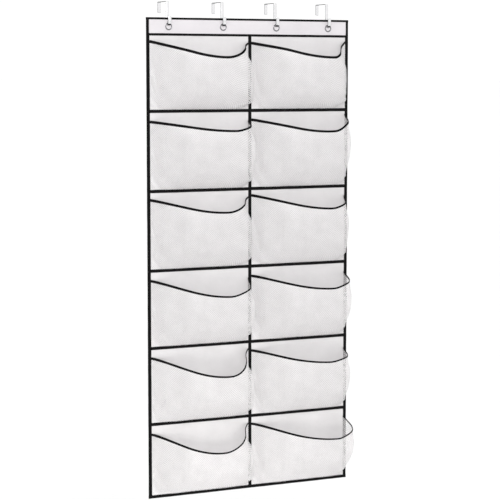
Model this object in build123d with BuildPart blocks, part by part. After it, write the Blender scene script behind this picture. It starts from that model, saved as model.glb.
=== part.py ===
"""Over-the-door hanging shoe organizer: twelve mesh pockets on a fabric panel, hung on four hooks.

Millimetres. +Z up, the pockets face -Y. The origin is the middle of the door's top edge, just
under the hook saddles. Flat layers of the panel are stacked forwards (towards -Y).
"""

import math
import os

from build123d import *

os.makedirs("parts", exist_ok=True)

# ---- driving dimensions ----------------------------------------------------------------------
PANEL_W = 634.0  # over the side bindings
TOP_TAPE_Z = -47.5  # centre of the top binding
HEADER_H = 44.0  # top binding centre to header tape centre
ROW_PITCHES = [213.0, 224.0, 224.0, 220.0, 218.0, 209.0]  # tape centre to tape centre
ROWS_ABOVE_FOLD = 3

SHEET_T = 1.2  # non-woven backing
BAND_T = 1.0  # stiffening layer in the header
BINDING_W = 10.2  # side and bottom bindings
TOP_BINDING_W = 6.4
BINDING_T = 0.8
TAPE_W = 9.5  # tapes under the rows of pockets
HEADER_TAPE_W = 7.0
CENTRE_TAPE_W = 10.5
TAPE_T = 0.9
FOLD_DROP = 5.4  # fold line below the tape centre it lies under
FOLD_GAP = 0.4  # between the two halves of the panel
FOLD_AXIS_BACK = 1.6  # fold axis behind the backing

DOOR_GAP = 60.0  # thickest door the hooks take
HOOK_XS = [-250.0, -83.3, 83.3, 250.0]
HOOK_W = 9.5
HOOK_T = 1.2
HOOK_CORNER_R = 2.5  # corners at both ends of the strip
REAR_LIP_H = 30.0
EYELET_BEND_R = 8.5  # inner radius of the bend that carries the eyelet
SADDLE_BEND_R = 1.8
TIP_ABOVE_PANEL = 4.0  # front tip above the panel's top edge
PANEL_SETBACK = 1.5  # middle of the header's thickness behind the bend's centre

EYELET_DROP = 22.0  # top binding centre to eyelet centre
EYELET_HOLE_R = 7.0
EYELET_BARREL_R = 7.7
EYELET_FLANGE_R = 10.5
FLANGE_T = 0.8
BEND_CLEARANCE = 0.3

MESH_T = 1.2
LIP_T = 2.0
LIP_W = 6.5
POCKET_FOOT = 3.0  # depth of a pocket along its bottom seam
MOUTH_FLARE = 0.8  # how far the pouch shape runs past its depth above the mouth
# Each pocket: lip seam below the tape above it at the left and at the right, sag, depth, and the
# shares of its width over which it opens out, closes, and reaches its lowest point.
LEFT_POCKETS = [
    (17, 21, 41, 54, 0.36, 0.12, 0.71),
    (27, 29, 26, 56, 0.36, 0.06, 0.80),
    (22, 23, 38, 54, 0.35, 0.12, 0.71),
    (26, 33, 46, 55, 0.40, 0.06, 0.74),
    (26, 20, 63, 68, 0.45, 0.12, 0.73),
    (27, 21, 63, 68, 0.34, 0.12, 0.66),
]
RIGHT_POCKETS = [
    (19, 15, 44, 66, 0.32, 0.13, 0.80),
    (24, 13, 44, 58, 0.37, 0.06, 0.80),
    (17, 27, 35, 54, 0.33, 0.09, 0.77),
    (26, 30, 40, 64, 0.44, 0.06, 0.78),
    (24, 38, 32, 60, 0.40, 0.06, 0.75),
    (22, 26, 52, 68, 0.44, 0.06, 0.84),
]

# ---- places worked out from them --------------------------------------------------------------
TAPE_ZS = [TOP_TAPE_Z - HEADER_H]
for pitch in ROW_PITCHES:
    TAPE_ZS.append(TAPE_ZS[-1] - pitch)

HALF_W = PANEL_W / 2
INNER_X = HALF_W - BINDING_W  # inner edge of the side bindings
SHEET_X = HALF_W - BINDING_T
TOP_Z = TOP_TAPE_Z + TOP_BINDING_W / 2
BOTTOM_Z = TAPE_ZS[-1] - BINDING_W / 2
FOLD_Z = TAPE_ZS[ROWS_ABOVE_FOLD] - FOLD_DROP

# hook bend, and the panel layers behind its centre
BEND_Y = -(DOOR_GAP / 2 + HOOK_T + EYELET_BEND_R)
STACK_MID_Y = BEND_Y + PANEL_SETBACK
BACK_Y = STACK_MID_Y + (SHEET_T + BAND_T) / 2
FRONT_Y = BACK_Y - SHEET_T
BAND_FRONT_Y = FRONT_Y - BAND_T
FOLD_AXIS_Y = BACK_Y + FOLD_AXIS_BACK

# The bend's centre is the swing axis: the eyelet's hole rides on it with clearance.
EYELET_Z = TOP_TAPE_Z - EYELET_DROP
ride_r = EYELET_BEND_R - BEND_CLEARANCE
washer_back = BACK_Y + FLANGE_T - BEND_Y
hole_top = math.sqrt(EYELET_HOLE_R**2 - (HOOK_W / 2) ** 2)
SWING_Z = EYELET_Z + hole_top + math.sqrt(ride_r**2 - washer_back**2)


def write(piece, name):
    """Label a finished piece and write its STEP file."""
    piece.part.label = name
    export_step(piece.part, f"parts/{name}.step")


# ---- backing and header -----------------------------------------------------------------------
def backing(name, top, bottom, eyelet_holes):
    """One half of the backing sheet, with its holes for the eyelets."""
    with BuildPart() as sheet:
        with BuildSketch(Plane.XZ.offset(-BACK_Y)):
            with Locations((0, (top + bottom) / 2)):
                Rectangle(2 * SHEET_X, top - bottom)
            if eyelet_holes:
                with Locations([(x, EYELET_Z) for x in HOOK_XS]):
                    Circle(EYELET_BARREL_R, mode=Mode.SUBTRACT)
        extrude(amount=SHEET_T)
    write(sheet, name)


def header_band():
    """White stiffening strip on the front of the header, between the bindings."""
    top = TOP_TAPE_Z - TOP_BINDING_W / 2
    bottom = TAPE_ZS[0] + HEADER_TAPE_W / 2
    with BuildPart() as band:
        with BuildSketch(Plane.XZ.offset(-FRONT_Y)):
            with Locations((0, (top + bottom) / 2)):
                Rectangle(2 * INNER_X, top - bottom)
            with Locations([(x, EYELET_Z) for x in HOOK_XS]):
                Circle(EYELET_BARREL_R, mode=Mode.SUBTRACT)
        extrude(amount=BAND_T)
    write(band, "header_band")


# ---- bindings folded round the edges ----------------------------------------------------------
def level_binding(name, edge_z, inward, width):
    """Binding folded over the top or bottom edge. inward is -1 at the top and +1 at the bottom."""
    mid_y = (BACK_Y + FRONT_Y) / 2
    with BuildPart() as binding:
        with BuildSketch(Plane.YZ.offset(-HALF_W)):
            with Locations((mid_y, edge_z + inward * width / 2)):
                Rectangle(SHEET_T + 2 * BINDING_T, width)
            with Locations((mid_y, edge_z + inward * (width + BINDING_T) / 2)):
                Rectangle(SHEET_T, width - BINDING_T, mode=Mode.SUBTRACT)
        extrude(amount=PANEL_W)
    write(binding, name)


def side_binding(name, side, top, bottom):
    """Binding folded over a side edge. side is -1 on the left and +1 on the right."""
    mid_y = (BACK_Y + FRONT_Y) / 2
    with BuildPart() as binding:
        with BuildSketch(Plane.XY.offset(bottom)):
            with Locations((side * (HALF_W - BINDING_W / 2), mid_y)):
                Rectangle(BINDING_W, SHEET_T + 2 * BINDING_T)
            with Locations((side * (HALF_W - (BINDING_W + BINDING_T) / 2), mid_y)):
                Rectangle(BINDING_W - BINDING_T, SHEET_T, mode=Mode.SUBTRACT)
        extrude(amount=top - bottom)
    write(binding, name)


# ---- tapes sewn on the front -------------------------------------------------------------------
def centre_tape(name, top, bottom):
    """Upright tape between the two columns of pockets."""
    with BuildPart() as tape:
        with BuildSketch(Plane.XZ.offset(-FRONT_Y)):
            with Locations((0, (top + bottom) / 2)):
                Rectangle(CENTRE_TAPE_W, top - bottom)
        extrude(amount=TAPE_T)
    write(tape, name)


def header_tape():
    """Level tape that closes the header."""
    with BuildPart() as tape:
        with BuildSketch(Plane.XZ.offset(-FRONT_Y)):
            with Locations((0, TAPE_ZS[0])):
                Rectangle(2 * INNER_X, HEADER_TAPE_W)
        extrude(amount=TAPE_T)
    write(tape, "header_tape")


def row_tape(number):
    """Level tape under a row of pockets, stepping over the centre tape."""
    step_x = CENTRE_TAPE_W / 2 + TAPE_T
    with BuildPart() as tape:
        with BuildSketch(Plane.XY.offset(TAPE_ZS[number] - TAPE_W / 2)):
            with Locations((0, FRONT_Y - TAPE_T / 2)):
                Rectangle(2 * INNER_X, TAPE_T)
            with Locations((0, FRONT_Y - TAPE_T)):
                Rectangle(2 * step_x, 2 * TAPE_T)
            with Locations((0, FRONT_Y - TAPE_T / 2)):
                Rectangle(CENTRE_TAPE_W, TAPE_T, mode=Mode.SUBTRACT)
        extrude(amount=TAPE_W)
    write(tape, f"row_tape_{number}")


# ---- pockets -----------------------------------------------------------------------------------
def pocket_form(left, width, foot_z, top_z, shape, inset):
    """Solid pouch shape that runs past the backing and past its mouth, shrunk by inset."""
    depth, opens, closes = shape[3:6]
    past = 12.0
    height = top_z - foot_z
    plan = [
        (left, FRONT_Y + past),
        (left, FRONT_Y),
        (left + opens * width, FRONT_Y - depth),
        (left + (1 - closes) * width, FRONT_Y - depth),
        (left + width, FRONT_Y),
        (left + width, FRONT_Y + past),
    ]
    side = [
        (FRONT_Y + past, foot_z),
        (FRONT_Y - POCKET_FOOT, foot_z),
        (FRONT_Y - 0.82 * depth, foot_z + 0.36 * height),
        (FRONT_Y - depth - MOUTH_FLARE, top_z + past),
        (FRONT_Y + past, top_z + past),
    ]
    with BuildPart() as form:
        with BuildSketch(Plane.XY.offset(foot_z - past)):
            with BuildLine():
                FilletPolyline(*plan, radius=[0, 0, 60, 26, 0, 0], close=True)
            make_face()
            if inset:
                offset(amount=-inset, kind=Kind.INTERSECTION)
        extrude(amount=height + 3 * past)
        with BuildSketch(Plane.YZ.offset(left - past)):
            with BuildLine():
                FilletPolyline(*side, radius=[0, 0, 70, 0, 0], close=True)
            make_face()
            if inset:
                offset(amount=-inset, kind=Kind.INTERSECTION)
        extrude(amount=width + 2 * past, mode=Mode.INTERSECT)
    return form.part


def below_lip(left, width, foot_z, top_z, shape, drop):
    """Everything in front of the backing below the lip's hanging curve, lowered by drop."""
    left_drop, right_drop, sag = shape[:3]
    lowest = shape[6]
    low_x = left + lowest * width
    low_z = top_z - left_drop * (1 - lowest) - right_drop * lowest - sag - drop
    start = (left - 1, top_z - left_drop - drop)
    end = (left + width + 1, top_z - right_drop - drop)
    floor = foot_z - 1
    with BuildPart() as region:
        with BuildSketch(Plane.XZ.offset(-FRONT_Y)):
            with BuildLine():
                Spline(start, (low_x, low_z), end, tangents=[(1, -0.12), (1, 1.6)])
                Polyline(end, (end[0], floor), (start[0], floor), start)
            make_face()
        extrude(amount=120)
    return region.part


def pocket(name, row, left, right, shape):
    """One mesh pouch, open at the back and at the top, and the binding on its lip."""
    foot_half = BINDING_W / 2 if row == len(ROW_PITCHES) else TAPE_W / 2
    place = (left, right - left, TAPE_ZS[row] + foot_half, TAPE_ZS[row - 1], shape)
    outer = pocket_form(*place, 0)

    with BuildPart() as pouch:
        add(outer)
        add(pocket_form(*place, MESH_T), mode=Mode.SUBTRACT)
        add(below_lip(*place, LIP_W), mode=Mode.INTERSECT)
    write(pouch, f"pocket_{name}")

    with BuildPart() as binding:
        add(outer)
        add(pocket_form(*place, LIP_T), mode=Mode.SUBTRACT)
        add(below_lip(*place, 0), mode=Mode.INTERSECT)
        add(below_lip(*place, LIP_W), mode=Mode.SUBTRACT)
    write(binding, f"lip_{name}")


# ---- eyelets -----------------------------------------------------------------------------------
def eyelets():
    """Four flanged metal eyelets pressed through the header from the front."""
    with BuildPart() as rings:
        with BuildSketch(Plane.XZ.offset(-BAND_FRONT_Y)):
            with Locations([(x, EYELET_Z) for x in HOOK_XS]):
                Circle(EYELET_FLANGE_R)
                Circle(EYELET_HOLE_R, mode=Mode.SUBTRACT)
        extrude(amount=FLANGE_T)
        fillet(rings.faces().sort_by(Axis.Y)[:4].edges(), 0.35)
        with BuildSketch(Plane.XZ.offset(-BACK_Y - FLANGE_T)):
            with Locations([(x, EYELET_Z) for x in HOOK_XS]):
                Circle(EYELET_BARREL_R)
                Circle(EYELET_HOLE_R, mode=Mode.SUBTRACT)
        extrude(amount=FLANGE_T + SHEET_T + BAND_T)
    write(rings, "eyelets")


def eyelet_washers():
    """Back washers that the eyelet barrels are rolled over."""
    with BuildPart() as washers:
        with BuildSketch(Plane.XZ.offset(-BACK_Y - FLANGE_T)):
            with Locations([(x, EYELET_Z) for x in HOOK_XS]):
                Circle(EYELET_FLANGE_R)
                Circle(EYELET_BARREL_R, mode=Mode.SUBTRACT)
        extrude(amount=FLANGE_T)
    write(washers, "eyelet_washers")


# ---- over-door hooks ---------------------------------------------------------------------------
def door_hook(number, x):
    """Flat strip bent over the door, down behind the panel, then forwards and up through an eyelet."""
    mid = HOOK_T / 2
    reach = DOOR_GAP / 2 + mid
    bend = EYELET_BEND_R + mid
    tip = BEND_Y - bend
    with BuildPart() as hook:
        with BuildSketch(Plane.YZ.offset(x - HOOK_W / 2)):
            with BuildLine():
                saddle = [(reach, -REAR_LIP_H), (reach, mid), (-reach, mid), (-reach, SWING_Z)]
                FilletPolyline(*saddle, radius=SADDLE_BEND_R)
                CenterArc((BEND_Y, SWING_Z), bend, 0, -180)
                Line((tip, SWING_Z), (tip, TOP_Z + TIP_ABOVE_PANEL))
            trace(line_width=HOOK_T)
        extrude(amount=HOOK_W)
        across = hook.edges().filter_by(Axis.Y)
        fillet([edge for edge in across if edge.length < 2 * HOOK_T], HOOK_CORNER_R)
    write(hook, f"hook_{number}")


# ---- build every piece -------------------------------------------------------------------------
sheet_top = TOP_Z - BINDING_T
sheet_bottom = BOTTOM_Z + BINDING_T
side_top = TOP_Z - TOP_BINDING_W
side_bottom = BOTTOM_Z + BINDING_W
upper_end = FOLD_Z + FOLD_GAP / 2
lower_start = FOLD_Z - FOLD_GAP / 2

backing("back_panel_upper", sheet_top, upper_end, eyelet_holes=True)
backing("back_panel_lower", lower_start, sheet_bottom, eyelet_holes=False)
header_band()
level_binding("top_binding", TOP_Z, -1, TOP_BINDING_W)
level_binding("bottom_binding", BOTTOM_Z, 1, BINDING_W)
for side_name, side in [("left", -1), ("right", 1)]:
    side_binding(f"{side_name}_binding_upper", side, side_top, upper_end)
    side_binding(f"{side_name}_binding_lower", side, lower_start, side_bottom)
centre_tape("centre_tape_upper", TAPE_ZS[0] - HEADER_TAPE_W / 2, upper_end)
centre_tape("centre_tape_lower", lower_start, side_bottom)
header_tape()
for number in range(1, len(ROW_PITCHES)):
    row_tape(number)
for row, (left_shape, right_shape) in enumerate(zip(LEFT_POCKETS, RIGHT_POCKETS), start=1):
    pocket(f"r{row}_left", row, -INNER_X, -CENTRE_TAPE_W / 2, left_shape)
    pocket(f"r{row}_right", row, CENTRE_TAPE_W / 2, INNER_X, right_shape)
eyelets()
eyelet_washers()
for number, hook_x in enumerate(HOOK_XS, start=1):
    door_hook(number, hook_x)

print(f"bend y {BEND_Y:.3f} swing z {SWING_Z:.3f} back y {BACK_Y:.3f} front y {FRONT_Y:.3f}")
print(f"fold y {FOLD_AXIS_Y:.3f} z {FOLD_Z:.3f} tapes {TAPE_ZS}")
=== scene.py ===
"""Looks of the over-the-door shoe organizer: white cloth panel, mesh pockets, black tapes, hooks."""
import math

import bpy
import numpy as np
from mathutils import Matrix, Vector, noise


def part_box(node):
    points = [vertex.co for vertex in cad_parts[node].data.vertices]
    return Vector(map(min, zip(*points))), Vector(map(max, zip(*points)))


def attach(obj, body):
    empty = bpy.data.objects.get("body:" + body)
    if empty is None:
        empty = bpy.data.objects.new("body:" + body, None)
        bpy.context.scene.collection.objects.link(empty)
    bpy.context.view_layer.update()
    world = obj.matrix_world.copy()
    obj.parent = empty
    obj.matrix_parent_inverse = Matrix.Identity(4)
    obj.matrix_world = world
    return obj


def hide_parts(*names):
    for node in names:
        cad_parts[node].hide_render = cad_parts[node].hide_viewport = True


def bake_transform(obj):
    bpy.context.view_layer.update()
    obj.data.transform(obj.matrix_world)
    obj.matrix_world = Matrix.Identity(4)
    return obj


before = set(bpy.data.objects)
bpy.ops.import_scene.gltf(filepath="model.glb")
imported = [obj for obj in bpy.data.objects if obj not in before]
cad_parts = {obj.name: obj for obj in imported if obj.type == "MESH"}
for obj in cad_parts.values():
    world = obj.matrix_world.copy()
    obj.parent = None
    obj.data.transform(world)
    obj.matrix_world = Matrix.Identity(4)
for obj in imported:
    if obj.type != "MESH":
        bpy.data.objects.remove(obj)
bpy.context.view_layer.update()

MM = 0.001
UPPER = "upper_panel"
LOWER = "lower_panel"
HOOKS = "door_hooks"
ROWS = 6
ROWS_ABOVE_FOLD = 3

# ---- places, all from the frame ----------------------------------------------------------------
panel_low, panel_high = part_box("back_panel_upper")
top_low, top_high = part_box("top_binding")
FRONT_Y = panel_low.y  # front face of the backing
BACK_Y = panel_high.y
HALF_W = top_high.x
TOP_Z = top_high.z
BINDING_FRONT = top_low.y
BINDING_BACK = top_high.y
BOTTOM_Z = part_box("bottom_binding")[0].z
TAPE_T = FRONT_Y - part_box("header_tape")[0].y
BAND_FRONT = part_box("header_band")[0].y


def middle(node):
    """Centre of a CAD node's box."""
    low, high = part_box(node)
    return (low + high) / 2


def tall(node):
    """Height of a CAD node's box."""
    low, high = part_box(node)
    return high.z - low.z


BINDING_W = tall("bottom_binding")
TOP_BINDING_W = tall("top_binding")
HEADER_TAPE_W = tall("header_tape")
ROW_TAPE_W = tall("row_tape_1")
CENTRE_TAPE_W = 2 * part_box("centre_tape_upper")[1].x
INNER_X = HALF_W - BINDING_W

TAPE_ZS = [middle("header_tape").z]
for number in range(1, ROWS):
    TAPE_ZS.append(middle(f"row_tape_{number}").z)
TAPE_ZS.append(middle("bottom_binding").z)
HOOK_XS = [middle(f"hook_{number}").x for number in range(1, 5)]
EYELET_Z = middle("eyelets").z
BARREL_R = 0.0077
HOLE_R = 0.0070
RIM_R = 0.0105
CLOTH_INSET = 0.0009  # the sheet stops this far inside the panel's outline, under its bindings

# Each pocket, in mm: lip seam below the tape above it at the left and right, sag, depth, the shares
# of its width where it opens, closes and hangs lowest, and how far its right side swells outwards.
LEFT_POCKETS = [
    (17, 21, 41, 54, 0.36, 0.08, 0.71, -11),
    (27, 29, 26, 56, 0.36, 0.08, 0.80, 7),
    (22, 23, 38, 54, 0.35, 0.10, 0.71, -8),
    (26, 33, 46, 55, 0.40, 0.11, 0.74, 12),
    (26, 20, 63, 68, 0.45, 0.08, 0.73, -14),
    (27, 21, 63, 68, 0.34, 0.09, 0.66, -14),
]
RIGHT_POCKETS = [
    (19, 15, 44, 66, 0.32, 0.13, 0.80, -14),
    (24, 13, 44, 58, 0.37, 0.06, 0.80, 1),
    (17, 27, 35, 54, 0.33, 0.10, 0.77, 4),
    (26, 30, 40, 64, 0.44, 0.09, 0.78, 12),
    (24, 38, 32, 60, 0.40, 0.10, 0.75, 11),
    (22, 26, 52, 68, 0.44, 0.07, 0.84, 20),
]


# ---- mesh helpers ------------------------------------------------------------------------------
def new_object(name, points, faces, face_uvs):
    """Object from points, faces and one (u, v) for each face corner."""
    mesh = bpy.data.meshes.new(name)
    mesh.from_pydata([tuple(p) for p in points], [], [tuple(f) for f in faces])
    layer = mesh.uv_layers.new(name="UVMap")
    layer.data.foreach_set("uv", np.asarray(face_uvs, np.float32).ravel())
    mesh.shade_smooth()
    obj = bpy.data.objects.new(name, mesh)
    bpy.context.scene.collection.objects.link(obj)
    return obj


def grid_object(name, points, uvs):
    """Open sheet from a rows by columns grid of points, with a UV in metres for each."""
    rows, columns = points.shape[:2]
    index = np.arange(rows * columns).reshape(rows, columns)
    corners = [index[:-1, :-1], index[:-1, 1:], index[1:, 1:], index[1:, :-1]]
    quads = np.stack(corners, -1).reshape(-1, 4)
    flat_uv = uvs.reshape(-1, 2)
    return new_object(name, points.reshape(-1, 3), quads, flat_uv[quads.ravel()])


def sweep_object(name, rings):
    """Closed tube through rings of points, capped at both ends, with UVs in metres."""
    count, around = rings.shape[:2]
    run = np.linalg.norm(np.diff(rings.mean(axis=1), axis=0), axis=1)
    along = np.concatenate([[0], np.cumsum(run)])
    girth = np.linalg.norm(np.roll(rings[0], -1, axis=0) - rings[0], axis=1)
    across = np.concatenate([[0], np.cumsum(girth)])
    faces = []
    uvs = []
    for i in range(count - 1):
        for j in range(around):
            k = (j + 1) % around
            faces.append((i * around + j, i * around + k, (i + 1) * around + k, (i + 1) * around + j))
            low, high = across[j], across[j + 1]
            uvs += [(along[i], low), (along[i], high), (along[i + 1], high), (along[i + 1], low)]
    for start, order in ((0, -1), ((count - 1) * around, 1)):
        faces.append([start + j for j in range(around)][::order])
        uvs += [(along[0 if start == 0 else -1], across[j]) for j in range(around)]
    return new_object(name, rings.reshape(-1, 3), faces, uvs)


def applied(obj):
    """Bake an object's modifiers into its mesh."""
    graph = bpy.context.evaluated_depsgraph_get()
    mesh = bpy.data.meshes.new_from_object(obj.evaluated_get(graph))
    obj.modifiers.clear()
    obj.data = mesh
    return obj


def ease(t):
    """Smooth step from 0 to 1, held outside that range."""
    t = np.clip(t, 0, 1)
    return t * t * (3 - 2 * t)


def wander(t, seed, scale, octaves=2):
    """Smooth repeatable noise from about -1 to 1 along a line, or over an array of values."""
    places = [Vector((v * scale, seed * 7.31, 0.5)) for v in np.ravel(t)]
    values = [noise.fractal(place, 1.0, 2.0, octaves) for place in places]
    return np.array(values).reshape(np.shape(t))


# ---- materials ---------------------------------------------------------------------------------
class Nodes:
    """Short way to build a node tree: each call makes a node and links or sets its inputs."""

    def __init__(self, name):
        self.material = bpy.data.materials.new(name)
        self.material.use_nodes = True
        self.tree = self.material.node_tree
        self.shader = self.tree.nodes["Principled BSDF"]

    def make(self, kind, output, settings=None, **inputs):
        node = self.tree.nodes.new("ShaderNode" + kind)
        for key, value in (settings or {}).items():
            setattr(node, key, value)
        for key, value in inputs.items():
            numbered = key[0] == "i" and key[1:].isdigit()
            self.feed(node.inputs[int(key[1:]) if numbered else key], value)
        return node.outputs[output]

    def feed(self, socket, value):
        if isinstance(value, bpy.types.NodeSocket):
            self.tree.links.new(value, socket)
        else:
            socket.default_value = value

    def maths(self, operation, a, b=0.0):
        return self.make("Math", 0, {"operation": operation}, i0=a, i1=b)

    def uv(self):
        return self.make("UVMap", 0)

    def split(self, vector):
        node = self.tree.nodes.new("ShaderNodeSeparateXYZ")
        self.feed(node.inputs[0], vector)
        return node.outputs[0], node.outputs[1]

    def noise(self, vector, scale, detail=2.0, roughness=0.5):
        return self.make(
            "TexNoise", "Fac", None, Vector=vector, Scale=scale, Detail=detail, Roughness=roughness
        )

    def stretched(self, vector, x, y):
        return self.make("Mapping", 0, None, Vector=vector, Scale=(x, y, 1.0))

    def wave(self, value, period):
        """Cosine of a length, repeating once each period."""
        return self.maths("COSINE", self.maths("MULTIPLY", value, 2 * math.pi / period))

    def between(self, low, high, factor):
        return self.make(
            "Mix", 2, {"data_type": "RGBA"}, i0=factor, i6=(*low, 1.0), i7=(*high, 1.0)
        )

    def level(self, value, from_low, from_high, to_low, to_high):
        return self.make(
            "MapRange", 0, None, i0=value, i1=from_low, i2=from_high, i3=to_low, i4=to_high
        )

    def bump(self, height, distance, strength=1.0):
        normal = self.make("Bump", 0, None, Height=height, Distance=distance, Strength=strength)
        self.feed(self.shader.inputs["Normal"], normal)

    def set(self, **values):
        for key, value in values.items():
            self.feed(self.shader.inputs[key.replace("_", " ")], value)
        return self


def mesh_material():
    """Knitted white mesh: staggered rows of small diamond holes between rounded strands, the strands
    painted darker towards the holes as painted shade.
    """
    n = Nodes("knitted_mesh")
    pitch = 0.0062
    u, v = n.split(n.uv())
    lattice = n.maths("ABSOLUTE", n.maths("ADD", n.wave(u, pitch), n.wave(v, pitch)))
    solid = n.level(lattice, 0.80, 0.96, 1.0, 0.0)
    cloud = n.level(n.noise(n.uv(), 26.0, 3.0), 0.3, 0.7, 0.0, 0.35)
    # strand rise: high on the strand's crown and falling to the hole edges; it drives the bump, and in
    # the colour it is painted shade, darkening the strands towards the holes
    strand_crown_and_painted_shade = n.level(lattice, 0.0, 0.75, 1.0, 0.0)
    tone = n.maths("ADD", cloud, n.maths("MULTIPLY", strand_crown_and_painted_shade, 0.65))
    colour = n.between((0.64, 0.628, 0.632), (0.905, 0.890, 0.895), tone)
    n.set(Base_Color=colour, Alpha=solid, Roughness=0.72)
    n.shader.inputs["Specular IOR Level"].default_value = 0.3
    n.shader.inputs["Sheen Weight"].default_value = 0.25
    n.shader.inputs["Sheen Roughness"].default_value = 0.5
    fibre = n.noise(n.uv(), 2600.0, 1.0)
    n.bump(n.maths("ADD", strand_crown_and_painted_shade, n.maths("MULTIPLY", fibre, 0.25)), 0.0006, 0.6)
    return n.material


def cloth_material(name, low, high):
    """Spun-bonded white cloth with rows of small pressed points and faint cloudiness."""
    n = Nodes(name)
    pitch = 0.0022
    u, v = n.split(n.uv())
    points = n.maths("MULTIPLY", n.wave(u, pitch), n.wave(v, pitch * 1.15))
    pressed = n.level(points, 0.45, 0.8, 0.0, 1.0)
    cloud = n.noise(n.uv(), 14.0, 4.0, 0.6)
    fibres = n.noise(n.stretched(n.uv(), 1.0, 0.35), 1500.0, 3.0, 0.65)
    tone = n.maths("ADD", n.maths("MULTIPLY", cloud, 0.7), n.maths("MULTIPLY", fibres, 0.3))
    tone = n.maths("SUBTRACT", tone, n.maths("MULTIPLY", pressed, 0.12))
    n.set(Base_Color=n.between(low, high, n.level(tone, 0.3, 0.65, 0.0, 1.0)), Roughness=0.8)
    n.shader.inputs["Specular IOR Level"].default_value = 0.25
    n.shader.inputs["Sheen Weight"].default_value = 0.15
    height = n.maths("SUBTRACT", n.maths("MULTIPLY", fibres, 0.5), pressed)
    n.bump(height, 0.00018, 0.8)
    return n.material


def tape_material():
    """Black woven tape: fine ribs across its length, faint lengthways streaks and a dull sheen."""
    n = Nodes("woven_tape")
    u, v = n.split(n.uv())
    ribs = n.wave(u, 0.0009)
    yarns = n.wave(v, 0.0011)
    streak = n.noise(n.stretched(n.uv(), 9.0, 900.0), 1.0, 3.0, 0.6)
    lint = n.noise(n.uv(), 900.0, 2.0, 0.7)
    tone = n.maths("ADD", n.maths("MULTIPLY", streak, 0.75), n.maths("MULTIPLY", lint, 0.25))
    share = n.level(tone, 0.38, 0.68, 0.0, 1.0)
    colour = n.between((0.0015, 0.0015, 0.0016), (0.007, 0.0068, 0.0071), share)
    n.set(Base_Color=colour, Roughness=n.level(tone, 0.3, 0.7, 0.7, 0.55))
    n.shader.inputs["Specular IOR Level"].default_value = 0.07
    n.shader.inputs["Sheen Weight"].default_value = 0.01
    weave = n.maths("ADD", ribs, n.maths("MULTIPLY", yarns, 0.5))
    n.bump(weave, 0.00012, 0.7)
    return n.material


def thread_material():
    """Twisted black sewing thread, a little lighter than the tape."""
    n = Nodes("sewing_thread")
    u, v = n.split(n.uv())
    twist = n.wave(n.maths("ADD", u, v), 0.0005)
    n.set(Base_Color=n.between((0.01, 0.01, 0.011), (0.035, 0.034, 0.036), n.level(twist, -1, 1, 0, 1)))
    n.set(Roughness=0.45)
    n.bump(twist, 0.0001, 0.6)
    return n.material


def metal_material(name, low, high, roughness):
    """Plated steel with fine rolling lines along it and a few faint marks."""
    n = Nodes(name)
    place = n.make("TexCoord", "Object")
    lines = n.noise(n.make("Mapping", 0, None, Vector=place, Scale=(4200.0, 60.0, 60.0)), 1.0, 2.0)
    marks = n.noise(place, 120.0, 4.0, 0.6)
    tone = n.maths("ADD", n.maths("MULTIPLY", lines, 0.5), n.maths("MULTIPLY", marks, 0.5))
    n.set(Base_Color=n.between(low, high, n.level(tone, 0.35, 0.65, 0.0, 1.0)))
    n.set(Roughness=n.level(marks, 0.3, 0.7, roughness * 0.8, roughness * 1.3))
    n.shader.inputs["Metallic"].default_value = 1.0
    n.bump(lines, 0.00004, 0.5)
    return n.material


MESH = mesh_material()
CLOTH = cloth_material("spunbond_cloth", (0.63, 0.617, 0.621), (0.70, 0.686, 0.690))
HEADER_CLOTH = cloth_material("header_cloth", (0.63, 0.607, 0.625), (0.69, 0.665, 0.685))
TAPE = tape_material()
THREAD = thread_material()
HOOK_METAL = metal_material("zinc_plate", (0.76, 0.76, 0.77), (0.88, 0.88, 0.89), 0.20)
# near-black metal for the hooks' side and downward faces: painted shade on their sides and undersides
PAINTED_SHADE_METAL = metal_material("painted_shade_steel", (0.03, 0.03, 0.032), (0.09, 0.09, 0.093), 0.35)
EYELET_METAL = metal_material("nickel_plate", (0.16, 0.16, 0.165), (0.32, 0.32, 0.33), 0.18)


def dress(obj, material, body=None):
    """Give a piece its material and slot, and attach it to a body when one is given."""
    obj.data.materials.clear()
    obj.data.materials.append(material)
    if body:
        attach(obj, body)
    return obj


def bend_at_fold(obj):
    """Bake the transform of a piece that crosses the fold line into its mesh; the piece is not bent at
    the fold.
    """
    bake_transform(obj)


# ---- sewing ------------------------------------------------------------------------------------
STITCH = 0.0031
STITCH_GAP = 0.0011
THREAD_R = 0.00024
THREAD_SIDES = 5
stitches = {UPPER: [], LOWER: [], "edges": []}


def sew(points, outward, group):
    """Queue a run of stitches along a polyline. outward is the cloth's normal, one or many."""
    points = np.asarray(points, float)
    outward = np.broadcast_to(np.asarray(outward, float), points.shape)
    run = np.concatenate([[0], np.cumsum(np.linalg.norm(np.diff(points, axis=0), axis=1))])
    place = 0.002
    while place + STITCH < run[-1] - 0.001:
        ends = np.array([place, place + STITCH / 2, place + STITCH])
        line = np.stack([np.interp(ends, run, points[:, k]) for k in range(3)], -1)
        out = np.array([np.interp(ends[1], run, outward[:, k]) for k in range(3)])
        stitches[group].append((line, out / np.linalg.norm(out)))
        place += STITCH + STITCH_GAP


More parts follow.
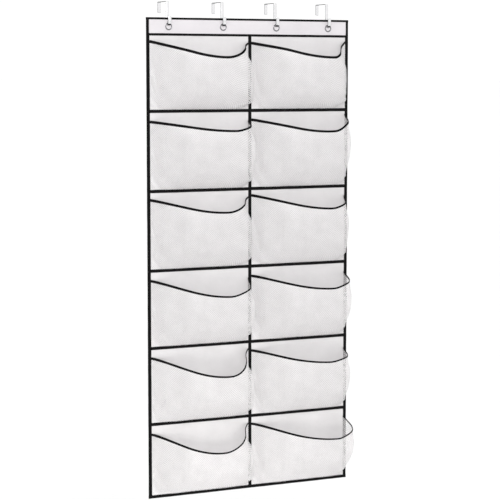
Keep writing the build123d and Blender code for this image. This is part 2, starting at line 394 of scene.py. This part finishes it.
def thread_object(name, runs):
    """All queued stitches of one group as one mesh of small arched threads."""
    points = []
    faces = []
    uvs = []
    turn = np.linspace(0, 2 * math.pi, THREAD_SIDES, endpoint=False)
    for line, out in runs:
        way = line[2] - line[0]
        way /= np.linalg.norm(way)
        side = np.cross(way, out)
        start = len(points)
        for k, (centre, lift, swell) in enumerate(zip(line, (-0.4, 0.55, -0.4), (0.6, 1.0, 0.6))):
            for angle in turn:
                spread = side * math.cos(angle) + out * math.sin(angle)
                points.append(centre + out * lift * THREAD_R + spread * THREAD_R * swell)
        for k in range(2):
            for j in range(THREAD_SIDES):
                m = (j + 1) % THREAD_SIDES
                low = start + k * THREAD_SIDES
                high = low + THREAD_SIDES
                faces.append((low + j, low + m, high + m, high + j))
                u = k * STITCH / 2
                w = j * 0.0003
                uvs += [(u, w), (u, w + 0.0003), (u + STITCH / 2, w + 0.0003), (u + STITCH / 2, w)]
        for low, order in ((start, -1), (start + 2 * THREAD_SIDES, 1)):
            faces.append([low + j for j in range(THREAD_SIDES)][::order])
            uvs += [(0.0, 0.0003 * j) for j in range(THREAD_SIDES)]
    return new_object(name, points, faces, uvs)


# ---- tapes and bindings ------------------------------------------------------------------------
def strip_profile(width, low, high, crown, groove_at):
    """Closed profile of a strip, as (across, out) pairs: flat behind, softly crowned in front."""
    half = width / 2
    ramp = [0.0, 0.45, 0.85, 1.0]
    edge = [0.0, 0.35, 1.0, 1.6]
    front = []
    for share, inset in zip(ramp, edge):
        front.append((-half + inset * 0.0004, low + (high - low) * share))
    inner = np.linspace(-half + 0.0012, half - 0.0012, 11)
    for s in inner:
        rise = crown * (1 - (s / half) ** 2)
        dip = 0.00022 * sum(math.exp(-(((s - g) / 0.0005) ** 2)) for g in groove_at)
        front.append((s, high + rise - dip))
    for share, inset in zip(reversed(ramp), reversed(edge)):
        front.append((half - inset * 0.0004, low + (high - low) * share))
    return np.array(front)


def wrapped_profile(width, front, back, groove_at):
    """Closed profile of a tape folded over an edge: two crowned faces and a round fold."""
    outer = strip_profile(width, 0.0, front, 0.00022, groove_at)
    inner = strip_profile(width, 0.0, back, 0.00018, groove_at)[::-1]
    return np.concatenate([outer, inner[1:-1] * (1, -1)])


def straight_rings(start, end, across, out, profile, seed, wobble):
    """Rings of a profile along a straight line, with the edge wandering a little."""
    start, end, across, out = (np.array(v, float) for v in (start, end, across, out))
    length = np.linalg.norm(end - start)
    share = np.linspace(0, 1, max(3, int(length / 0.004)))
    drift = wander(share * length, seed, 22.0) * wobble
    swell = 1 + wander(share * length, seed + 40, 35.0) * 0.035
    centre = start + (end - start) * share[:, None]
    place = profile[None, :, 0] * swell[:, None] + drift[:, None]
    return centre[:, None] + place[..., None] * across + profile[None, :, 1, None] * out


def edge_binding(name, start, end, across, width, nodes, seed, body=None):
    """Binding folded over one edge of the panel, with a stitch line on both faces."""
    inset = width / 2 - 0.0017
    mid_y = (FRONT_Y + BACK_Y) / 2
    profile = wrapped_profile(width, mid_y - BINDING_FRONT, BINDING_BACK - mid_y, [inset])
    rings = straight_rings(start, end, across, (0, -1, 0), profile, seed, 0.00018)
    binding = sweep_object(name, rings)
    dress(binding, TAPE, body)
    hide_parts(*nodes)
    seam = [np.array(p) + np.array(across) * inset for p in (start, end)]
    group = body or "edges"
    for y, out in ((BINDING_FRONT - 0.0001, -1), (BINDING_BACK + 0.0001, 1)):
        sew([(p[0], y, p[2]) for p in seam], (0, out, 0), group)
    return binding


def flat_tape(name, start, end, across, width, nodes, seed, body=None, lift=0.0):
    """Tape sewn flat on the front, with its stitches on the front and coming through behind."""
    seams = [-width * 0.27, width * 0.27]
    profile = strip_profile(width, -0.0003, TAPE_T, 0.00025, seams)
    shift = np.array((0, -lift, 0))
    begin, finish = (np.array((p[0], FRONT_Y, p[2])) + shift for p in (start, end))
    rings = straight_rings(begin, finish, across, (0, -1, 0), profile, seed, 0.00022)
    tape = sweep_object(name, rings)
    dress(tape, TAPE, body)
    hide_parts(*nodes)
    group = body or "edges"
    for seam in seams:
        line = [p + np.array(across) * seam for p in (begin, finish)]
        face = FRONT_Y - TAPE_T - 0.00015 - lift
        sew([(p[0], face, p[2]) for p in line], (0, -1, 0), group)
        sew([(p[0], BACK_Y + 0.0001, p[2]) for p in line], (0, 1, 0), group)
    return tape


def make_edges():
    """The four bindings folded over the edges of the panel."""
    mid_y = (FRONT_Y + BACK_Y) / 2
    for name, z, inward, width, body in (
        ("top_edge_binding", TOP_Z - TOP_BINDING_W / 2, -1, TOP_BINDING_W, UPPER),
        ("bottom_edge_binding", BOTTOM_Z + BINDING_W / 2, 1, BINDING_W, LOWER),
    ):
        node = name.replace("_edge", "")
        ends = [(-HALF_W, mid_y, z), (HALF_W, mid_y, z)]
        edge_binding(name, *ends, (0, 0, inward), width, [node], len(name), body)
    for side, name in ((-1, "left"), (1, "right")):
        x = side * (HALF_W - BINDING_W / 2)
        ends = [(x, mid_y, TOP_Z - TOP_BINDING_W + 0.001), (x, mid_y, BOTTOM_Z + BINDING_W - 0.001)]
        nodes = [f"{name}_binding_upper", f"{name}_binding_lower"]
        binding = edge_binding(f"{name}_edge_binding", *ends, (-side, 0, 0), BINDING_W, nodes, 5 + side)
        bend_at_fold(binding)


def make_tapes():
    """The centre tape, the header tape and the row tapes."""
    ends = [(0, 0, TAPE_ZS[0]), (0, 0, BOTTOM_Z + BINDING_W - 0.001)]
    nodes = ["centre_tape_upper", "centre_tape_lower"]
    bend_at_fold(flat_tape("centre_seam_tape", *ends, (1, 0, 0), CENTRE_TAPE_W, nodes, 3))
    for number, z in enumerate(TAPE_ZS[:-1]):
        node = f"row_tape_{number}" if number else "header_tape"
        width = ROW_TAPE_W if number else HEADER_TAPE_W
        body = UPPER if number <= ROWS_ABOVE_FOLD else LOWER
        ends = [(-INNER_X - 0.002, 0, z), (INNER_X + 0.002, 0, z)]
        flat_tape(f"sewn_{node}", *ends, (0, 0, 1), width, [node], 20 + number, body, 0.0004)


# ---- backing and header ------------------------------------------------------------------------
def cloth_relief(x, z):
    """How far the backing stands out from flat, in metres: ripples, and puckers beside the tapes."""
    half = ROW_TAPE_W / 2
    to_side = np.minimum(INNER_X - np.abs(x), np.abs(x) - half)
    to_level = np.min([np.abs(z - tape_z) - half for tape_z in TAPE_ZS + [TOP_Z]], axis=0)
    clear = np.clip(np.minimum(to_side, to_level), 0, None)
    broad = np.array([noise.fractal(Vector((a * 9, b * 7, 2.0)), 1.0, 2.0, 2) for a, b in zip(x, z)])
    pucker = np.array([noise.noise(Vector((a * 55, b * 55, 8.0))) for a, b in zip(x, z)])
    near = np.exp(-clear / 0.007)
    return ease(clear / 0.03) * broad * 0.0011 + ease(clear / 0.002) * near * pucker * 0.0005


def thick_sheet(name, x_range, z_range, front_y, thick, relief, step):
    """Cloth slab with a shaped front and back, built as one closed sweep from left to right."""
    xs = np.linspace(*x_range, int((x_range[1] - x_range[0]) / step) + 1)
    zs = np.linspace(*z_range, int(abs(z_range[1] - z_range[0]) / step) + 1)
    grid_x, grid_z = np.meshgrid(xs, zs, indexing="ij")
    push = relief(grid_x.ravel(), grid_z.ravel()).reshape(grid_x.shape)
    front = np.stack([grid_x, front_y - push, grid_z], -1)
    back = np.stack([grid_x, front_y + thick - push, grid_z], -1)
    return sweep_object(name, np.concatenate([front, back[:, ::-1]], axis=1))


def punched(obj, radius):
    """Cut the eyelet holes through a sheet."""
    drill = bpy.data.meshes.new("drill")
    points = []
    faces = []
    sides = 40
    for x in HOOK_XS:
        start = len(points)
        for y in (BAND_FRONT - 0.02, BACK_Y + 0.02):
            for k in range(sides):
                angle = 2 * math.pi * k / sides
                points.append((x + radius * math.cos(angle), y, EYELET_Z + radius * math.sin(angle)))
        for k in range(sides):
            m = (k + 1) % sides
            faces.append((start + k, start + m, start + sides + m, start + sides + k))
        faces.append([start + k for k in range(sides)][::-1])
        faces.append([start + sides + k for k in range(sides)])
    drill.from_pydata(points, [], faces)
    cutter = bpy.data.objects.new("drill", drill)
    bpy.context.scene.collection.objects.link(cutter)
    cut = obj.modifiers.new("holes", "BOOLEAN")
    cut.operation = "DIFFERENCE"
    cut.solver = "EXACT"
    cut.object = cutter
    applied(obj)
    bpy.data.objects.remove(cutter)
    return obj


def make_backing():
    """The backing sheet in one piece, and the stiff band on the front of the header."""
    width = HALF_W - CLOTH_INSET
    rise = (TOP_Z - CLOTH_INSET, BOTTOM_Z + CLOTH_INSET)
    thick = BACK_Y - FRONT_Y
    sheet = thick_sheet("backing_sheet", (-width, width), rise, FRONT_Y, thick, cloth_relief, 0.006)
    punched(sheet, BARREL_R)
    dress(sheet, CLOTH)
    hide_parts("back_panel_upper", "back_panel_lower")
    bend_at_fold(sheet)

    top = TOP_Z - TOP_BINDING_W + 0.0004
    bottom = TAPE_ZS[0]

    def swell(x, z):
        inside = np.clip(np.minimum(top - z, z - bottom - HEADER_TAPE_W / 2), 0, None)
        broad = np.array([noise.noise(Vector((a * 12, b * 12, 4.0))) for a, b in zip(x, z)])
        return ease(inside / 0.012) * (0.0003 + 0.0004 * broad)

    span = (-INNER_X - 0.002, INNER_X + 0.002)
    thick = FRONT_Y - BAND_FRONT
    band = thick_sheet("header_sheet", span, (top, bottom), BAND_FRONT, thick, swell, 0.004)
    punched(band, BARREL_R)
    dress(band, HEADER_CLOTH, UPPER)
    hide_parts("header_band")


# ---- pockets -----------------------------------------------------------------------------------
LIP_POINTS = 110
POCKET_RISE = 62
CLOTH_FRAMES = 22
SHIFT_CAP = 0.003  # furthest that the simulation may move a point
# For each row: the lip tape's height, and how far in mm each pocket's right side swells below it.
LIP_HEIGHTS = [0.0073, 0.0068, 0.0063, 0.0059, 0.0056, 0.0053]
LEFT_FLANKS = [21, 16, 20, 15, 22, 22]
RIGHT_FLANKS = [18, 11, 13, 11, 12, 10]
PLEAT_DEPTH = 0.0075


def softened(line, reach):
    """Round the turns of a polyline by averaging over a window, with its two ends held."""
    before = 2 * line[0] - line[reach * 2 : 0 : -1]
    after = 2 * line[-1] - line[-2 : -2 - reach * 2 : -1]
    padded = np.concatenate([before, line, after])
    weight = np.exp(-0.5 * (np.arange(-2 * reach, 2 * reach + 1) / reach) ** 2)
    weight /= weight.sum()
    return np.stack([np.convolve(padded[:, k], weight, "valid") for k in range(3)], -1)


def lip_line(left, right, top_z, shape):
    """Lip of one pocket as evenly spaced points, with each point's share of the pocket's width."""
    left_drop, right_drop, sag, depth, opens, closes, lowest, swell = shape
    t = np.linspace(0, 1, 2000)
    out = depth * ease(t / opens) * ease((1 - t) / closes)
    belly = np.exp(-2 * ((1 - t) / closes - 0.8) ** 2) * ease((1 - t) / (0.3 * closes))
    before = np.sin(np.pi / 2 * np.clip(t / lowest, 0, 1)) ** 1.2
    after = np.sin(np.pi / 2 * np.clip((1 - t) / (1 - lowest), 0, 1))
    hang = np.where(t < lowest, before, after)
    x = left + (right - left) * t + swell * MM * belly
    y = FRONT_Y - 0.0008 - out * MM
    z = top_z - (left_drop * (1 - t) + right_drop * t + sag * hang) * MM
    line = softened(np.stack([x, y, z], -1), 30)
    run = np.concatenate([[0], np.cumsum(np.linalg.norm(np.diff(line, axis=0), axis=1))])
    even = np.linspace(0, run[-1], LIP_POINTS)
    spaced = np.stack([np.interp(even, run, line[:, k]) for k in range(3)], -1)
    return spaced, np.interp(even, run, t), even


def pocket_surface(left, right, foot_z, top_z, shape, flank, seed):
    """Grid of points from the foot seam up to the lip, with pleats beside both lower corners.

    flank is how far, in mm, the right side swells outwards below the lip.
    """
    lip, share, run = lip_line(left, right, top_z, shape)
    even = run / run[-1]
    foot = np.empty_like(lip)
    foot[:, 0] = left + (right - left) * (0.5 * share + 0.5 * even)
    foot[:, 1] = FRONT_Y - 0.0010
    foot[:, 2] = foot_z - 0.001
    rows = np.linspace(0, 1, POCKET_RISE)[:, None]
    side = np.minimum(share / 0.2, (1 - share) / 0.12)[None]
    power = 1.25 - 0.4 * ease(side)
    belly = np.sin(np.pi / 2 * np.clip(rows / 0.82, 0, 1)) ** power
    x = foot[None, :, 0] + (lip[None, :, 0] - foot[None, :, 0]) * (0.35 * rows + 0.65 * belly)
    y = foot[None, :, 1] + (lip[None, :, 1] - foot[None, :, 1]) * belly
    z = foot[None, :, 2] + (lip[None, :, 2] - foot[None, :, 2]) * rows
    from_right = (1 - share) / shape[5]
    corner = ease(from_right / 0.7) * np.exp(-0.5 * (np.clip(from_right - 0.9, 0, None) / 1.3) ** 2)
    x += flank * MM * corner[None] * ease(rows / 0.16) * ease((1 - rows) / 0.3) * (2.2 - 1.4 * rows)
    points = np.stack([x, y, z], -1)

    # pleats: a fold tucked in beside each side seam, deep at the foot and gone near the lip
    reach = run[-1]
    push = np.zeros_like(x)
    for place, lean, way in ((0.030, 0.012, 1), (reach - 0.040, -0.014, -1)):
        fold = place + lean * np.sin(np.pi * rows) + 0.003 * np.sin(4 * rows + seed)
        gap = (run[None] - fold) * way
        ridge = np.exp(-np.clip(gap, 0, None) / 0.014) * ease((gap + 0.005) / 0.005)
        tuck = ease(-(gap + 0.001) / 0.006) * ease((run[None] if way > 0 else reach - run[None]) / 0.012)
        fade = ease(rows / 0.05) * ease((0.86 - rows) / 0.5)
        push += (0.45 * ridge - 0.55 * tuck) * PLEAT_DEPTH * fade
    room = FRONT_Y - 0.0012 - points[..., 1]
    push = np.maximum(push, -0.8 * room)
    points[..., 1] -= push
    return points, run


def relax(obj, points):
    """Let gravity settle the mesh between its seams with a short cloth simulation, capped."""
    rows, columns = points.shape[:2]
    pins = np.zeros((rows, columns))
    pins[0] = 1
    pins[-1] = 1
    pins[:, 0] = 1
    pins[:, -1] = 1
    pins[-2] = 0.6
    group = obj.vertex_groups.new(name="seams")
    for index, weight in enumerate(pins.ravel()):
        if weight:
            group.add([index], float(weight), "REPLACE")
    cloth = obj.modifiers.new("cloth", "CLOTH")
    cloth.settings.quality = 6
    cloth.settings.mass = 0.12
    cloth.settings.tension_stiffness = 12
    cloth.settings.compression_stiffness = 12
    cloth.settings.shear_stiffness = 4
    cloth.settings.bending_stiffness = 0.25
    cloth.settings.air_damping = 3
    cloth.settings.shrink_min = -0.022
    cloth.settings.vertex_group_mass = "seams"
    cloth.collision_settings.use_collision = False
    cloth.collision_settings.use_self_collision = False
    scene = bpy.context.scene
    cloth.point_cache.frame_end = CLOTH_FRAMES
    for number in range(1, CLOTH_FRAMES + 1):
        scene.frame_set(number)
    graph = bpy.context.evaluated_depsgraph_get()
    settled = obj.evaluated_get(graph).data
    moved = np.zeros(rows * columns * 3)
    settled.vertices.foreach_get("co", moved)
    obj.modifiers.clear()
    scene.frame_set(1)
    shift = moved.reshape(-1, 3) - points.reshape(-1, 3)
    size = np.linalg.norm(shift, axis=1, keepdims=True)
    shift *= np.tanh(size / SHIFT_CAP) * SHIFT_CAP / np.maximum(size, 1e-9)
    final = points.reshape(-1, 3) + shift
    obj.data.vertices.foreach_set("co", final.ravel())
    obj.data.update()
    return final.reshape(points.shape)


def lip_binding(name, grid, height, taper, seed, slot_nodes, body):
    """Narrow tape folded over the mouth of a pocket, following the settled cloth."""
    lip = grid[-1]
    below = grid[-3]
    along = np.gradient(lip, axis=0)
    along /= np.linalg.norm(along, axis=1, keepdims=True)
    down = below - lip
    down -= along * np.sum(down * along, axis=1, keepdims=True)
    down /= np.linalg.norm(down, axis=1, keepdims=True)
    out = np.cross(along, down)
    out *= np.where(np.sum(out * (0, -1, 0), axis=1, keepdims=True).mean() < 0, -1, 1)
    twist = wander(np.arange(len(lip)) / len(lip), seed, 6.0) * 0.22
    face = out * np.cos(twist)[:, None] + down * np.sin(twist)[:, None]
    hang = down * np.cos(twist)[:, None] - out * np.sin(twist)[:, None]
    half = 0.0009
    profile = wrapped_profile(height, half, half, [height / 2 - 0.0014])
    size = (1 + taper * np.linspace(1, -1, len(lip)))[:, None]
    centre = lip + down * (size * height / 2 - 0.0012)
    across = size[:, None] * profile[None, :, 0, None] * hang[:, None]
    rings = centre[:, None] + across + profile[None, :, 1, None] * face[:, None]
    binding = sweep_object(name, rings)
    dress(binding, TAPE, body)
    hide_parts(*slot_nodes)
    seam = centre + hang * size * (height / 2 - 0.0014)
    sew(seam + face * (half + 0.0002), face, body)
    return binding


def make_pocket(row, side_name, left, right, shape, flank, seed):
    """One mesh pocket and the binding along its lip."""
    body = UPPER if row <= ROWS_ABOVE_FOLD else LOWER
    foot_half = BINDING_W / 2 if row == ROWS else ROW_TAPE_W / 2
    foot_z = TAPE_ZS[row] + foot_half
    points, run = pocket_surface(left, right, foot_z, TAPE_ZS[row - 1], shape, flank, seed)
    rise = np.cumsum(np.linalg.norm(np.diff(points, axis=0, prepend=points[:1]), axis=2), axis=0)
    uvs = np.stack([np.broadcast_to(run[None], rise.shape), rise], -1)
    pocket = grid_object(f"mesh_pocket_r{row}_{side_name}", points, uvs)
    points = relax(pocket, points)
    dress(pocket, MESH, body)
    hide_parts(f"pocket_r{row}_{side_name}")
    height = LIP_HEIGHTS[row - 1]
    taper = 0.08 + 0.05 * row
    tape = lip_binding(
        f"lip_tape_r{row}_{side_name}", points, height, taper, seed, [f"lip_r{row}_{side_name}"], body
    )


def make_pockets():
    """Both columns of pockets, top to bottom."""
    for row in range(1, ROWS + 1):
        half = CENTRE_TAPE_W / 2
        make_pocket(row, "left", -INNER_X, -half, LEFT_POCKETS[row - 1], LEFT_FLANKS[row - 1], row)
        make_pocket(row, "right", half, INNER_X, RIGHT_POCKETS[row - 1], RIGHT_FLANKS[row - 1], row + 20)


# ---- metal parts -------------------------------------------------------------------------------
def turned(name, profile, centres, sides=56):
    """Rings turned about the Y axis from a closed (radius, y) profile, one at each centre."""
    points = []
    faces = []
    uvs = []
    count = len(profile)
    for cx, cz in centres:
        start = len(points)
        for k in range(sides):
            angle = 2 * math.pi * k / sides
            for radius, y in profile:
                points.append((cx + radius * math.cos(angle), y, cz + radius * math.sin(angle)))
        for k in range(sides):
            m = (k + 1) % sides
            for j in range(count):
                i = (j + 1) % count
                faces.append((start + k * count + j, start + m * count + j,
                              start + m * count + i, start + k * count + i))
                u, v = k / sides * 0.05, j * 0.0008
                uvs += [(u, v), (u + 0.05 / sides, v), (u + 0.05 / sides, v + 0.0008), (u, v + 0.0008)]
    return new_object(name, points, faces, uvs)


def make_eyelets():
    """Rolled eyelets on the front of the header and their washers behind it."""
    centres = [(x, EYELET_Z) for x in HOOK_XS]
    hole, barrel, rim = HOLE_R, BARREL_R - 0.0001, RIM_R
    face = BAND_FRONT - 0.0002
    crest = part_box("eyelets")[0].y - 0.0004
    swing = np.linspace(0, math.pi, 15)
    mid, reach = (hole + rim) / 2, (rim - hole) / 2
    dome = [(mid - reach * math.cos(a), face + (crest - face) * math.sin(a) ** 0.7) for a in swing]
    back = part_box("eyelets")[1].y
    profile = dome + [(barrel, face), (barrel, back), ((hole + barrel) / 2, back + 0.0003), (hole, back)]
    rings = turned("eyelet_rings", profile, centres)
    dress(rings, EYELET_METAL, UPPER)
    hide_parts("eyelets")
    lip = back + 0.0002
    washer = [
        (barrel, BACK_Y),
        (rim, BACK_Y + 0.0001),
        (rim - 0.0006, lip - 0.0003),
        (barrel + 0.001, lip),
    ]
    washers = turned("back_washers", washer, centres)
    dress(washers, EYELET_METAL, UPPER)
    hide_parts("eyelet_washers")


def make_hooks():
    """The four strip hooks, with their cut edges broken by a small round, and their side and downward
    faces painted near-black as shade.
    """
    for number in range(1, 5):
        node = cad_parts[f"hook_{number}"]
        hook = bpy.data.objects.new(f"strip_hook_{number}", node.data.copy())
        bpy.context.scene.collection.objects.link(hook)
        weld = hook.modifiers.new("weld", "WELD")
        weld.merge_threshold = 0.00001
        flat = hook.modifiers.new("flat", "DECIMATE")
        flat.decimate_type = "DISSOLVE"
        flat.angle_limit = math.radians(1.5)
        bevel = hook.modifiers.new("bevel", "BEVEL")
        bevel.width = 0.00032
        bevel.segments = 3
        bevel.angle_limit = math.radians(40)
        applied(hook)
        hook.data.shade_smooth()
        hook.data.set_sharp_from_angle(angle=math.radians(35))
        dress(hook, HOOK_METAL, HOOKS)
        hook.data.materials.append(PAINTED_SHADE_METAL)
        # side faces and downward-facing faces take the near-black metal: painted shade on the hook's
        # sides and undersides
        for face in hook.data.polygons:
            face.material_index = int(abs(face.normal.x) > 0.25 or face.normal.z < -0.5)
        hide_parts(f"hook_{number}")


def make_threads():
    """Turn the queued stitches into pieces."""
    for group, runs in stitches.items():
        thread = thread_object(f"stitching_{group.replace('_panel', '')}", runs)
        if group == "edges":
            dress(thread, THREAD)
            bend_at_fold(thread)
        else:
            dress(thread, THREAD, group)


# ---- studio ------------------------------------------------------------------------------------
def make_studio():
    """Pale floor well below the object, white surroundings and soft lights."""
    scene = bpy.context.scene
    scene.view_settings.view_transform = "Standard"
    size = 900.0
    floor_z = BOTTOM_Z - 0.25
    signs = ((-1, -1), (1, -1), (1, 1), (-1, 1))
    corners = [(a * size, b * size, floor_z) for a, b in signs]
    floor = new_object("studio_floor", corners, [(0, 1, 2, 3)], [(0, 0), (1, 0), (1, 1), (0, 1)])
    n = Nodes("pale_floor")
    tone = n.noise(n.make("TexCoord", "Object"), 0.6, 2.0)
    n.set(Base_Color=n.between((0.975, 0.975, 0.975), (0.99, 0.99, 0.99), tone), Roughness=0.9)
    floor.data.materials.append(n.material)

    world = bpy.data.worlds.new("white_surround")
    world.use_nodes = True
    world.node_tree.nodes["Background"].inputs["Color"].default_value = (1, 1, 1, 1)
    world.node_tree.nodes["Background"].inputs["Strength"].default_value = 1.04
    scene.world = world
    centre = Vector((0, FRONT_Y, (TOP_Z + BOTTOM_Z) / 2))
    # each lamp: place from the panel's middle, height it aims at, power, size and colour
    for name, place, aim_z, power, spread, colour in (
        ("key", (-0.4, -2.8, 1.2), 0.0, 7.2, 0.8, (1.0, 0.99, 1.0)),
        ("high_fill", (-0.3, -1.2, 1.05), 0.0, 4.8, 0.5, (1.0, 0.99, 1.0)),
        ("low_fill", (-0.2, -0.75, -0.75), -0.68, 1.7, 0.25, (1.0, 0.99, 0.96)),
    ):
        lamp = bpy.data.lights.new(name, "AREA")
        lamp.energy = power
        lamp.size = spread
        lamp.color = colour
        light = bpy.data.objects.new(name, lamp)
        light.location = centre + Vector(place)
        target = centre + Vector((0, 0, aim_z))
        light.rotation_euler = (target - light.location).to_track_quat("-Z", "Y").to_euler()
        scene.collection.objects.link(light)


def make_camera():
    """Long-lens view from the front left, a little above the panel's middle."""
    yaw = math.radians(25.0)
    pitch = math.radians(5.78)
    distance = 4.9585
    aim = Vector((0.0009, (FRONT_Y + BACK_Y) / 2, TOP_Z - TOP_BINDING_W / 2 - 0.6584))
    look = Vector((math.sin(yaw) * math.cos(pitch), math.cos(yaw) * math.cos(pitch), -math.sin(pitch)))
    data = bpy.data.cameras.new("camera")
    data.lens = 123.8
    data.sensor_width = 36.0
    camera = bpy.data.objects.new("camera", data)
    camera.location = aim - look * distance
    camera.rotation_euler = look.to_track_quat("-Z", "Y").to_euler()
    bpy.context.scene.collection.objects.link(camera)
    bpy.context.scene.camera = camera


# ---- everything --------------------------------------------------------------------------------
make_backing()
make_edges()
make_tapes()
make_pockets()
make_eyelets()
make_hooks()
make_threads()
make_studio()
make_camera()
